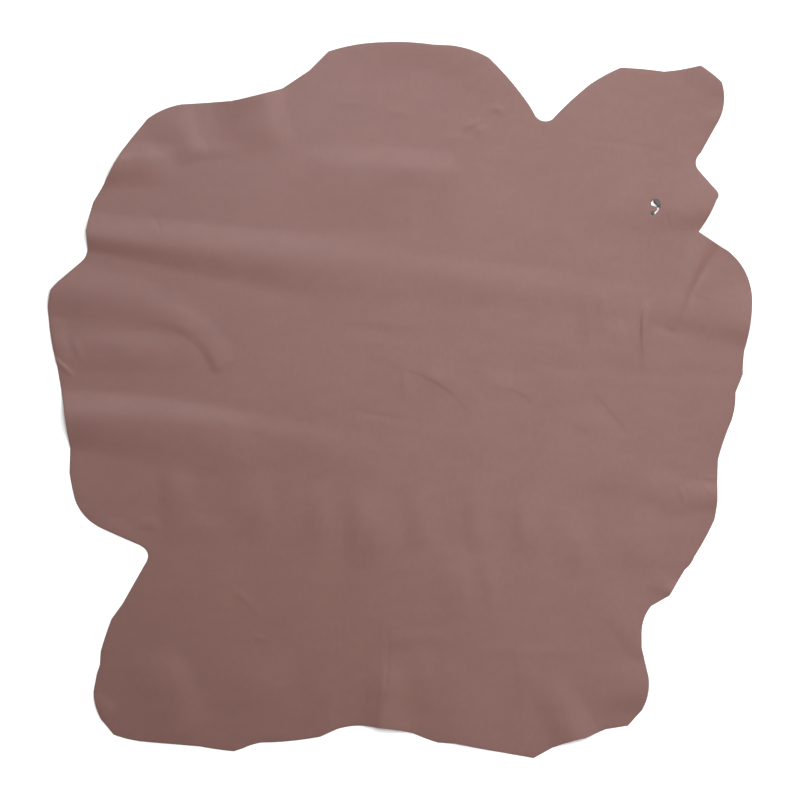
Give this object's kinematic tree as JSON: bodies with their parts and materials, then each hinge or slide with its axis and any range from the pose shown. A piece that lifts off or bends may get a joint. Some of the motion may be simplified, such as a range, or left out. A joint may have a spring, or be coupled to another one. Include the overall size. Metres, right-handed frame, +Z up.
{
  "type": "leather hide",
  "caption": "Whole trimmed leather hide with an irregular knife-cut outline, laid out grain side up with soft folds and a small natural hole.",
  "frame": {"origin": "on the ground under the middle of the hide's bounding box", "axes": "+Z up off the ground, out of the grain side; +Y to the neck end, which is also the longest extent; +X to the right of the hide seen from above"},
  "size_m": [1.76, 1.7897, 0.0125],
  "materials": {
    "leather": "half-matt finished grain in dusty rose brown, with a fine pebble, soft creases and paler raw cut edges"
  },
  "bodies": {
    "root": {"hide": "leather"}
  },
  "joints": []
}
